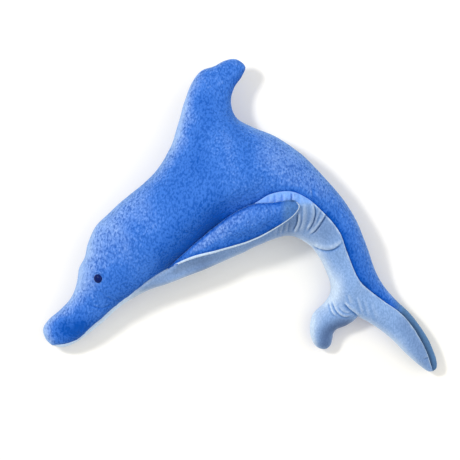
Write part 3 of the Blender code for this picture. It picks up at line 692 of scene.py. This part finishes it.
def fleece_tone(points, facing_light_shade, seam, folds, valley_shade, left_seam):
    """Painted light and shade of the fleece, and its share of the greyer band."""
    painted_light, flat = facing_light_shade
    # Painted light and shade by facing, and painted shade in the seam's crease
    light_and_shade = painted_light - flat - (0.35 + 0.5 * towards_tail(points)) * seam
    # Painted shade in the folds' grooves and painted light on their lips, and painted shade in the
    # valley above the flipper
    light_and_shade -= 0.7 * np.clip(folds, -0.5, 1) + 1.1 * valley_shade
    # Painted light and shade at the listed places
    light_and_shade = np.maximum(light_and_shade + soft_share(points, FLEECE_LIGHT_AND_SHADE), -1)
    light_and_shade -= 0.22 * valley_shade ** 2
    # Greyer band along the near fluke's edge, over painted shade that deepens beside the seam
    tint_light_shade = grey_band(points)
    seam_shade = np.exp(-(nearest_on_path(points[:, :2], left_seam)[0] / (4 * MM)) ** 2)
    light_and_shade = light_and_shade * (1 - tint_light_shade) - tint_light_shade * (1 + 0.3 * seam_shade)
    # More painted shade in the seam's crease towards the tail
    light_and_shade -= 0.6 * np.clip(seam - 0.55, 0, 0.5) * np.clip((points[:, 0] / MM - 70) / 20, 0, 1)
    return light_and_shade, tint_light_shade


def velour_tone(points, facing_light_shade, seam, folds):
    """Painted light and shade of the velour, and its painted light in the strip, below zero where
    painted grey shade is laid.
    """
    painted_light, flat = facing_light_shade
    # Painted light on the lip beside the seam and on cloth facing -x, painted shade, flat, on
    # cloth facing +x and -y and in the folds' grooves
    seam_lip_light = np.clip(seam - 0.6, 0, 1)
    light_and_shade = 1.6 * painted_light - 0.3 * flat + (0.4 + 0.7 * towards_tail(points)) * seam_lip_light
    # Painted light and shade at the listed places, painted shade in the folds' grooves
    light_and_shade += soft_share(points, VELOUR_LIGHT_AND_SHADE) - 0.9 * np.clip(folds, -0.5, 1)
    # Painted grey shade, kept off the lip beside the seam
    grey_shade = soft_share(points, GREY_SHADE_PLACES) * (1 - np.clip(1.6 * seam_lip_light, 0, 1))
    return light_and_shade, strip_light_share(points) - grey_shade


def soft_share(points, places):
    """Sum of the amounts of soft places at mesh points."""
    amount = np.zeros(len(points))
    for line, radius, share in places:
        gap = nearest_on_path(points[:, :2], smooth_points(line, 4 * MM))[0]
        amount += share * np.exp(-(gap / (radius * MM)) ** 2)
    return amount


def grey_band(points):
    """Share of greyer, darker fleece along the outer edge of the near fluke."""
    x, y = points[:, 0] / MM, points[:, 1] / MM
    return np.clip((x - 159) / 12, 0, 1) * (y < -75)


def strip_light_share(points):
    """Share of painted light on the velour in the strip between the arch seam and the flipper."""
    x, y = points[:, 0] / MM, points[:, 1] / MM
    ends = np.clip((x - 2) / 8, 0, 1) * np.clip((76 - x) / 1.5, 0, 1)
    return 0.8 * ends * np.clip((y - 10) / 5, 0, 1)


# Pieces

def add_mesh(name, points, faces, material):
    """Add a smooth mesh object."""
    mesh = bpy.data.meshes.new(name)
    spots = [tuple(map(float, point)) for point in points]
    mesh.from_pydata(spots, [], [tuple(map(int, face)) for face in faces])
    mesh.materials.append(material)
    mesh.polygons.foreach_set("use_smooth", [True] * len(mesh.polygons))
    mesh.update()
    piece = bpy.data.objects.new(name, mesh)
    bpy.context.collection.objects.link(piece)
    return piece


def sewn_panel(name, points, faces, material, cloth, light_and_shade, tint_light_shade):
    """One panel of cloth with its edges turned in, its painted light and shade, and its tint."""
    used = np.unique(faces)
    local = np.full(len(points), -1)
    local[used] = np.arange(len(used))
    piece = add_mesh(name, points[used], local[faces], material)
    uses = Counter(pair for face in piece.data.polygons for pair in face.edge_keys)
    sharp = [uses[edge.key] == 1 for edge in piece.data.edges]
    piece.data.attributes.new("sharp_edge", "BOOLEAN", "EDGE").data.foreach_set("value", sharp)
    # Painted light and shade, and the tint with its painted light and grey shade, as attributes
    for label, values in (("light_and_shade", light_and_shade), ("tint_light_shade", tint_light_shade)):
        tone = piece.data.attributes.new(label, "FLOAT", "POINT")
        tone.data.foreach_set("value", np.clip(values[used], -1.5, 1).astype(np.float32))
    thick = piece.modifiers.new("cloth", "SOLIDIFY")
    thick.thickness = cloth
    thick.offset = -1
    thick.use_even_offset = False
    return piece


def settle(piece, slot, fill, *nodes):
    """Ride on the toy and stand for CAD nodes; the fill is not used."""
    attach(piece, "root")
    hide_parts(*nodes)


# Materials

def new_material(name):
    """New material, its node tree and its Principled shader."""
    material = bpy.data.materials.new(name)
    material.use_nodes = True
    tree = material.node_tree
    return material, tree, tree.nodes["Principled BSDF"]


def feed(tree, socket, value):
    """Link another socket's value, or set a number."""
    if isinstance(value, bpy.types.NodeSocket):
        tree.links.new(value, socket)
    else:
        socket.default_value = value


def worked_out(tree, operation, *values, clamp=False):
    """Value of a sum over sockets and numbers."""
    node = tree.nodes.new("ShaderNodeMath")
    node.operation = operation
    node.use_clamp = clamp
    for socket, value in zip(node.inputs, values):
        feed(tree, socket, value)
    return node.outputs[0]


def ranged(tree, value, low, high, to_low, to_high):
    """Value carried from one range to another."""
    node = tree.nodes.new("ShaderNodeMapRange")
    names = ("Value", "From Min", "From Max", "To Min", "To Max")
    for name, given in zip(names, (value, low, high, to_low, to_high)):
        feed(tree, node.inputs[name], given)
    return node.outputs["Result"]


def speckle(tree, place, scale, detail=2.0, roughness=0.5, distortion=0.0):
    """Soft noise at a place."""
    node = tree.nodes.new("ShaderNodeTexNoise")
    names = ("Scale", "Detail", "Roughness", "Distortion")
    for name, given in zip(names, (scale, detail, roughness, distortion)):
        feed(tree, node.inputs[name], given)
    if place is not None:
        tree.links.new(place, node.inputs["Vector"])
    return node.outputs["Fac"]


def colour_mix(tree, share, first, second):
    """Mix of two colours by a share."""
    node = tree.nodes.new("ShaderNodeMix")
    node.data_type = "RGBA"
    tree.links.new(share, node.inputs["Factor"])
    tree.links.new(first, node.inputs["A"])
    tree.links.new(second, node.inputs["B"])
    return node.outputs["Result"]


def two_tones(tree, share, first, second):
    """Colour between two tones by a share."""
    node = tree.nodes.new("ShaderNodeValToRGB")
    node.color_ramp.elements[0].color = (*first, 1)
    node.color_ramp.elements[1].color = (*second, 1)
    tree.links.new(share, node.inputs["Fac"])
    return node.outputs["Color"]


def nap_sockets(group):
    """Named inputs and outputs of the nap."""
    new_socket = group.interface.new_socket
    for name, colour in zip(TONE_NAMES, BLUE_TONES):
        socket = new_socket(name, in_out="INPUT", socket_type="NodeSocketColor")
        socket.default_value = (*colour, 1)
    for name, number in (
            ("Light and Shade", 0.0), ("Tint Light Shade", 0.0), ("Nubs per Metre", 500.0), ("Nub Contrast", 0.5)):
        socket = new_socket(name, in_out="INPUT", socket_type="NodeSocketFloat")
        socket.default_value = number
    for name, kind in (("Colour", "Color"), ("Roughness", "Float"), ("Height", "Float")):
        new_socket(name, in_out="OUTPUT", socket_type="NodeSocket" + kind)


def nub_height(group, place, per_metre):
    """Height of the nubs: tufts and tight curls, drawn out across the toy."""
    drawn = group.nodes.new("ShaderNodeMapping")
    drawn.inputs["Scale"].default_value = (1.0, 0.65, 1.0)
    group.links.new(place, drawn.inputs["Vector"])
    tufts = speckle(group, drawn.outputs["Vector"], per_metre, distortion=0.6)
    curls = group.nodes.new("ShaderNodeTexVoronoi")
    curls.feature = "SMOOTH_F1"
    curls.inputs["Smoothness"].default_value = 0.6
    group.links.new(drawn.outputs["Vector"], curls.inputs["Vector"])
    group.links.new(per_metre, curls.inputs["Scale"])
    lowered = worked_out(group, "MULTIPLY_ADD", curls.outputs["Distance"], -0.45, 0.17)
    return worked_out(group, "ADD", lowered, tufts)


def nap_colour(group, given, nubs, contrast, light_and_shade):
    """Colour of the nap by its nubs and by painted light and shade."""
    tops = ranged(group, nubs, 0.52, 0.72, 0, 0.36)
    pits = ranged(group, nubs, 0.5, 0.3, 0, 1)
    # Nub tops and painted light mix towards the pale lint colour
    lint_and_light_share = worked_out(group, "MULTIPLY_ADD", tops, contrast, light_and_shade, clamp=True)
    colour = colour_mix(group, lint_and_light_share, given["Cloth Colour"], given["Lint and Light Colour"])
    # Nub pits and painted shade mix towards the deep saturated blue
    painted_shade = worked_out(group, "MULTIPLY", light_and_shade, -1)
    pit_and_shade_share = worked_out(group, "MULTIPLY_ADD", pits, contrast, painted_shade, clamp=True)
    colour = colour_mix(group, pit_and_shade_share, colour, given["Pit and Shade Colour"])
    # Tint where that input is above zero: greyer fleece, painted light on the velour
    colour = colour_mix(group, given["Tint Light Shade"], colour, given["Tint Light Shade Colour"])
    # Painted grey shade where that input is below zero
    grey_shade_share = worked_out(group, "MULTIPLY", given["Tint Light Shade"], -1)
    colour = colour_mix(group, grey_shade_share, colour, given["Grey Shade Colour"])
    nub_tone = ranged(group, nubs, 0.3, 0.68, 0.93, 1.07)
    # Painted shade darkens the cloth further where it runs deepest, in creases
    crease_shade = ranged(group, given["Light and Shade"], -1, -1.5, 1, 0.35)
    tone = group.nodes.new("ShaderNodeHueSaturation")
    group.links.new(worked_out(group, "MULTIPLY", nub_tone, crease_shade), tone.inputs["Value"])
    group.links.new(colour, tone.inputs["Color"])
    return tone.outputs["Color"]


def fleece_group():
    """Nap of brushed fleece: colour, roughness and height."""
    group = bpy.data.node_groups.new("fleece_nap", "ShaderNodeTree")
    nap_sockets(group)
    given = group.nodes.new("NodeGroupInput").outputs
    out = group.nodes.new("NodeGroupOutput").inputs
    place = group.nodes.new("ShaderNodeTexCoord").outputs["Object"]
    nubs = nub_height(group, place, given["Nubs per Metre"])
    patches = speckle(group, place, 38.0, 4.0, 0.65)
    fibres = speckle(group, place, 1500.0)
    # Nubs stand out more where painted light is laid
    grain = ranged(group, given["Light and Shade"], 0, 0.35, 0.65, 1.35)
    contrast = worked_out(group, "MULTIPLY", grain, given["Nub Contrast"])
    brushed = ranged(group, patches, 0.3, 0.7, -0.12, 0.12)
    light_and_shade = worked_out(group, "MULTIPLY_ADD", brushed, contrast, given["Light and Shade"])
    group.links.new(nap_colour(group, given, nubs, contrast, light_and_shade), out["Colour"])
    group.links.new(ranged(group, fibres, 0, 1, 0.98, 0.85), out["Roughness"])
    group.links.new(worked_out(group, "MULTIPLY_ADD", fibres, 0.3, nubs), out["Height"])
    return group


def cloth_material(name, nap, tones, nubs, contrast, relief, sheen, sheen_tint):
    """Fabric with the fleece nap group and a sheen of loose fibres."""
    material, tree, shader = new_material(name)
    weave = tree.nodes.new("ShaderNodeGroup")
    weave.node_tree = nap
    for socket, colour in zip(TONE_NAMES, tones):
        weave.inputs[socket].default_value = (*colour, 1)
    for label, socket in (("light_and_shade", "Light and Shade"), ("tint_light_shade", "Tint Light Shade")):
        tone = tree.nodes.new("ShaderNodeAttribute")
        tone.attribute_name = label
        tree.links.new(tone.outputs["Fac"], weave.inputs[socket])
    weave.inputs["Nubs per Metre"].default_value = nubs
    weave.inputs["Nub Contrast"].default_value = contrast
    tree.links.new(weave.outputs["Colour"], shader.inputs["Base Color"])
    tree.links.new(weave.outputs["Roughness"], shader.inputs["Roughness"])
    bump = tree.nodes.new("ShaderNodeBump")
    bump.inputs["Strength"].default_value = 1.0
    bump.inputs["Distance"].default_value = relief
    tree.links.new(weave.outputs["Height"], bump.inputs["Height"])
    tree.links.new(bump.outputs["Normal"], shader.inputs["Normal"])
    shader.inputs["Specular IOR Level"].default_value = 0.1
    shader.inputs["Sheen Weight"].default_value = sheen
    shader.inputs["Sheen Roughness"].default_value = 0.35
    shader.inputs["Sheen Tint"].default_value = (*sheen_tint, 1)
    return material


def eye_material():
    """Polished navy plastic with a faint cloud in its depth."""
    material, tree, shader = new_material("navy_eye_plastic")
    cloud = speckle(tree, None, 260.0)
    navy = two_tones(tree, cloud, (0.0002, 0.006, 0.07), (0.0004, 0.016, 0.15))
    tree.links.new(navy, shader.inputs["Base Color"])
    tree.links.new(ranged(tree, cloud, 0, 1, 0.1, 0.16), shader.inputs["Roughness"])
    shader.inputs["Specular IOR Level"].default_value = 0.15
    return material


def washer_material():
    """Moulded off-white plastic."""
    material, tree, shader = new_material("moulded_washer_plastic")
    grain = speckle(tree, None, 900.0)
    milky = two_tones(tree, grain, (0.68, 0.68, 0.66), (0.78, 0.78, 0.76))
    tree.links.new(milky, shader.inputs["Base Color"])
    shader.inputs["Roughness"].default_value = 0.45
    return material


# Flippers

def bed_plane(*nodes):
    """Height of the flat bed between a flipper's two CAD leaves."""
    leaves = [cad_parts[node].data.vertices for node in nodes]
    spots = np.array([tuple(vertex.co) for leaf in leaves for vertex in leaf])
    weights = np.column_stack([spots[:, :2], np.ones(len(spots))])
    return np.linalg.lstsq(weights, spots[:, 2], rcond=None)[0]


def flipper_cloth():
    """Plan mesh of a flipper, its plump share and the triangles of its pale rim."""
    edge = FLIPPER_UPPER_EDGE + FLIPPER_LOWER_EDGE[1:]
    loop = smooth_points(edge, FLIPPER_STEP)[:-1]
    seam = smooth_points(FLIPPER_SEAM, FLIPPER_STEP)
    plan, triangles, rim = cut_cloth(loop, [seam], FLIPPER_GRID)
    plump = fill_out(plan, triangles, rim, np.ones(len(plan)))
    low_edge = smooth_points(FLIPPER_LOWER_EDGE, FLIPPER_STEP)
    pale_rim = inside(plan[triangles].mean(1), np.vstack([seam, low_edge[1:-1]]))
    return plan, triangles, rim, plump / plump.max(), seam, pale_rim


def closed_bag(plan, triangles, rim, top, low, edge):
    """Points of a flipper closed at its rim, and the faces of its lower leaf."""
    points = np.vstack([np.column_stack([plan, top]), np.column_stack([plan, low])])
    points[rim, 2] = edge
    number = np.arange(len(plan)) + len(plan)
    number[rim] = rim
    return points, number[triangles][:, ::-1]


def evened(values, triangles, rounds):
    """Values over a mesh, averaged with their neighbours."""
    count = np.bincount(triangles.ravel(), minlength=len(values)) * 2.0
    for _ in range(rounds):
        total = np.zeros(len(values))
        for a, b in ((0, 1), (1, 2), (2, 0)):
            total += np.bincount(triangles[:, a], values[triangles[:, b]], len(values))
            total += np.bincount(triangles[:, b], values[triangles[:, a]], len(values))
        values = 0.5 * values + 0.5 * total / count
    return values


def laid_height(plan, triangles, body, half):
    """Height of the middle of a flipper that lies on the body's upper side."""
    down = Vector((0, 0, -1))
    under = np.array([body.ray_cast(Vector((x, y, 1)), down)[0].z for x, y in plan])
    slope = bed_plane("left_flipper_outer", "left_flipper_inner")
    bed = np.column_stack([plan, np.ones(len(plan))]) @ slope
    bed = 0.25 * bed + 0.75 * (evened(under, triangles, 150) + half.mean())
    for _ in range(6):
        short = np.maximum(0, under + 0.15 * MM + half - bed)
        bed = bed + evened(short, triangles, 4) * 1.15
    return bed


def flipper_tone(points, lean, seam, seam_share, to_edge):
    """Painted light and shade of the upper flipper's fleece, and its greyer share near the tip."""
    x = points[:, 0] / MM
    tint_light_shade = 0.6 * np.clip((x - 40) / 7, 0, 1)
    to_seam = nearest_on_path(points[:, :2], seam)[0]
    # Painted shade along the upper edge, where it presses into the body, and beside the seam
    painted_shade = 1.2 * np.exp(-(to_edge / (2.2 * MM)) ** 2)
    painted_shade += 0.4 * np.exp(-(to_seam / (9 * MM)) ** 2) * np.clip(x / 25 + 2, 0, 1)
    # Painted light towards the flipper's root
    brushed = 0.06 + 0.24 * np.clip(-x / 40, 0, 1)
    # Painted light and shade by facing, painted shade in the seam, and a lighter greyer tip
    return lean + brushed - 0.9 * seam_share + 0.45 * tint_light_shade - painted_shade, tint_light_shade


def left_flipper(blue, pale, body):
    """Upper flipper with its pale lower leaf rolled round the edge."""
    plan, triangles, rim, plump, seam, pale_rim = flipper_cloth()
    half = FLIPPER_RIM + FLIPPER_PLUMP * plump
    bed = laid_height(plan, triangles, body, half)
    tuck = seam_tuck(plan, seam, FLIPPER_SEAM_DEPTH, "flipper")
    tuck *= np.clip(plump * 3, 0.3, 1)
    top = bed + half - tuck
    points, lower = closed_bag(plan, triangles, rim, top, bed - half, bed[rim])
    faces = np.vstack([triangles, lower])
    upper_edge = smooth_points(FLIPPER_UPPER_EDGE, FLIPPER_STEP)
    to_edge = nearest_on_path(points[:, :2], upper_edge)[0]
    turned = to_edge[triangles].mean(1) < 4 * MM
    is_pale = np.concatenate([pale_rim, ~turned])
    normals = point_normals(points, faces)
    points = points + normals * (0.3 * MM * lumps(points, 11 * MM, 5.2))[:, None]
    # Painted light and shade by the way the cloth faces
    painted_light, flat = facing_light_and_shade(normals)
    seam_share = np.concatenate([tuck, np.zeros(len(plan))]) / FLIPPER_SEAM_DEPTH
    tone = flipper_tone(points, painted_light - flat, seam, seam_share, to_edge)
    outer = sewn_panel(
        "left_flipper_blue_leaf", points, faces[~is_pale], blue, FLIPPER_CLOTH, *tone)
    # Pale leaf with painted light all over
    inner = sewn_panel(
        "left_flipper_pale_leaf", points, faces[is_pale], pale, FLIPPER_CLOTH,
        painted_light + 0.9, np.zeros(len(points)))
    settle(outer, "blue_plush", 0.6, "left_flipper_outer", "left_flipper_stuffing")
    settle(inner, "pale_velour", 0.6, "left_flipper_inner")


def right_flipper(blue, pale):
    """Hidden flipper, pressed flat on the floor."""
    plan, triangles, rim, plump, *_ = flipper_cloth()
    top = HIDDEN_RIM + HIDDEN_PLUMP_UP * plump
    low = np.maximum(0, HIDDEN_RIM - HIDDEN_PLUMP_DOWN * plump)
    points, lower = closed_bag(plan, triangles, rim, top, low, HIDDEN_RIM)
    plain = np.zeros(len(points))
    inner = sewn_panel(
        "right_flipper_pale_leaf", points, triangles, pale, FLIPPER_CLOTH, plain, plain)
    outer = sewn_panel(
        "right_flipper_blue_leaf", points, lower, blue, FLIPPER_CLOTH, plain, plain)
    settle(outer, "blue_plush", 0.4, "right_flipper_outer", "right_flipper_stuffing")
    settle(inner, "pale_velour", 0.4, "right_flipper_inner")


# Eyes

def eye_profile():
    """Radius and height of the eye's turned shape, from its top to its stem."""
    dome = EYE_HEIGHT - EYE_EDGE
    profile = [(EYE_RADIUS * math.sin(a), EYE_EDGE + dome * math.cos(a))
               for a in np.linspace(0, math.pi / 2, 14)]
    return profile + [
        (EYE_RADIUS, 0.2 * MM), (EYE_RADIUS * 0.94, -0.2 * MM),
        (EYE_STEM_RADIUS, -0.2 * MM), (EYE_STEM_RADIUS, -EYE_STEM_LENGTH),
    ]


def domed_eye(name, centre, axis, material, node):
    """Round eye with a low rim, sitting in its dimple."""
    profile = eye_profile()
    turn = Vector(axis).to_track_quat("Z", "Y").to_matrix()
    steps = 48
    ring = [(math.cos(a), math.sin(a)) for a in np.linspace(0, 2 * math.pi, steps, False)]
    spots = [(0, 0, profile[0][1])]
    for radius, height in profile[1:]:
        spots += [(radius * x, radius * y, height) for x, y in ring]
    points = [Vector(centre) + turn @ Vector(spot) for spot in spots]
    faces = []
    for k in range(steps):
        n = (k + 1) % steps
        faces.append((0, 1 + k, 1 + n))
        for j in range(len(profile) - 2):
            row = 1 + j * steps
            faces.append((row + k, row + steps + k, row + steps + n, row + n))
    last = 1 + (len(profile) - 2) * steps
    faces.append(tuple(last + k for k in range(steps))[::-1])
    settle(add_mesh(name, points, faces, material), "eye", None, node)


# Room

def add_floor():
    """Pale floor that shows white to the camera and keeps the soft shadow."""
    mesh = bpy.data.meshes.new("floor")
    corners = [(-FAR, -FAR, 0), (FAR, -FAR, 0), (FAR, FAR, 0), (-FAR, FAR, 0)]
    mesh.from_pydata(corners, [], [(0, 1, 2, 3)])
    floor = bpy.data.objects.new("floor", mesh)
    floor.location.z = -FLOOR_DROP
    bpy.context.collection.objects.link(floor)
    material, tree, shader = new_material("pale_floor")
    shader.inputs["Base Color"].default_value = (0.92, 0.895, 0.83, 1)
    shader.inputs["Roughness"].default_value = 1.0
    shader.inputs["Specular IOR Level"].default_value = 0.0
    path = tree.nodes.new("ShaderNodeLightPath").outputs
    seen = worked_out(tree, "MAXIMUM", path["Is Camera Ray"], path["Is Glossy Ray"])
    seen = worked_out(tree, "MAXIMUM", seen, path["Is Transmission Ray"])
    lit = tree.nodes.new("ShaderNodeMixShader")
    tree.links.new(seen, lit.inputs[0])
    for socket, strength in ((lit.inputs[1], 0.0), (lit.inputs[2], 0.15)):
        glow = tree.nodes.new("ShaderNodeEmission")
        glow.inputs["Strength"].default_value = strength
        tree.links.new(glow.outputs[0], socket)
    both = tree.nodes.new("ShaderNodeAddShader")
    tree.links.new(shader.outputs[0], both.inputs[0])
    tree.links.new(lit.outputs[0], both.inputs[1])
    tree.links.new(both.outputs[0], tree.nodes["Material Output"].inputs["Surface"])
    mesh.materials.append(material)


def add_lamp(name, turn, rise, power, size):
    """Square soft lamp aimed at the toy, by its turn and rise in degrees."""
    data = bpy.data.lights.new(name, "AREA")
    data.shape = "SQUARE"
    data.size = size
    data.energy = power
    lamp = bpy.data.objects.new(name, data)
    turn, rise = math.radians(turn), math.radians(rise)
    level = math.cos(rise)
    place = Vector((level * math.cos(turn), level * math.sin(turn), math.sin(rise)))
    lamp.location = place * LAMP_AWAY
    lamp.rotation_euler = (-place).to_track_quat("-Z", "Y").to_euler()
    bpy.context.collection.objects.link(lamp)


def add_world(strength):
    """Even pale surroundings."""
    world = bpy.data.worlds.new("pale_room")
    world.use_nodes = True
    back = world.node_tree.nodes["Background"]
    back.inputs["Color"].default_value = (1, 1, 1, 1)
    back.inputs["Strength"].default_value = strength
    bpy.context.scene.world = world


def add_camera():
    """Long lens straight above the toy."""
    data = bpy.data.cameras.new("camera")
    data.sensor_width = SENSOR_WIDTH
    data.lens = SENSOR_WIDTH * CAMERA_AWAY / PICTURE_WIDTH
    camera = bpy.data.objects.new("camera", data)
    x, y = (SHIFT + PICTURE_MIDDLE) * MM
    camera.location = (x, y, CAMERA_AWAY + CAMERA_LEVEL)
    bpy.context.collection.objects.link(camera)
    bpy.context.scene.camera = camera


def eye_seats(points, normals, faces, panel):
    """Seats of the left and right eye, pressed into the body's points."""
    eye = (np.array(EYE_PLACE) + SHIFT) * MM
    seats = []
    for side in ("left", "right"):
        own = np.unique(faces[panel == side])
        nearest = own[np.argsort(((points[own, :2] - eye) ** 2).sum(1))[0]]
        seats.append(eye_seat(points, normals, points[nearest].copy()))
    return seats


def dress():
    """Make every piece of the toy."""
    nap = fleece_group()
    blue = cloth_material(
        "blue_fleece", nap, BLUE_TONES, 500, 0.76, 1.1 * MM, 0.55, (0.4, 0.72, 1.0))
    pale = cloth_material(
        "pale_velour_cloth", nap, PALE_TONES, 600, 0.26, 0.3 * MM, 0.8, (0.85, 0.93, 1.0))
    filling = cloth_material(
        "fibre_filling", nap, FILLING_TONES, 150, 0.6, 2.0 * MM, 0.2, (1.0, 1.0, 1.0))
    navy = eye_material()
    washer = washer_material()
    points, normals, faces, panel, tones = body_cloth()
    left_seat, right_seat = eye_seats(points, normals, faces, panel)
    for name, side, cloth, slot, nodes in (
            ("left_side_fleece", "left", blue, "blue_plush", ("left_side_panel", "body_stuffing")),
            ("right_side_fleece", "right", blue, "blue_plush", ("right_side_panel",)),
            ("belly_velour", "belly", pale, "pale_velour", ("belly_panel",))):
        piece = sewn_panel(name, points, faces[panel == side], cloth, CLOTH, *tones[side])
        settle(piece, slot, 0.85, *nodes)
    left_flipper(blue, pale, BVHTree.FromPolygons(points.tolist(), faces.tolist()))
    right_flipper(blue, pale)
    domed_eye("left_domed_eye", *left_seat, navy, "left_eye")
    domed_eye("right_domed_eye", *right_seat, navy, "right_eye")
    for node in ("left_eye_washer", "right_eye_washer"):
        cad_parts[node].material_slots[0].material = washer
    for node in ("body_stuffing", "left_flipper_stuffing", "right_flipper_stuffing"):
        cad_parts[node].material_slots[0].material = filling


def set_room():
    """Floor, lamps, surroundings and camera."""
    add_floor()
    add_world(0.59)
    add_lamp("side_lamp", 152, 54, 21, 0.3)
    add_lamp("back_lamp", 10, 40, 15, 2.4)
    add_camera()
    bpy.context.scene.view_settings.view_transform = "Standard"


dress()
set_room()
bpy.context.view_layer.update()
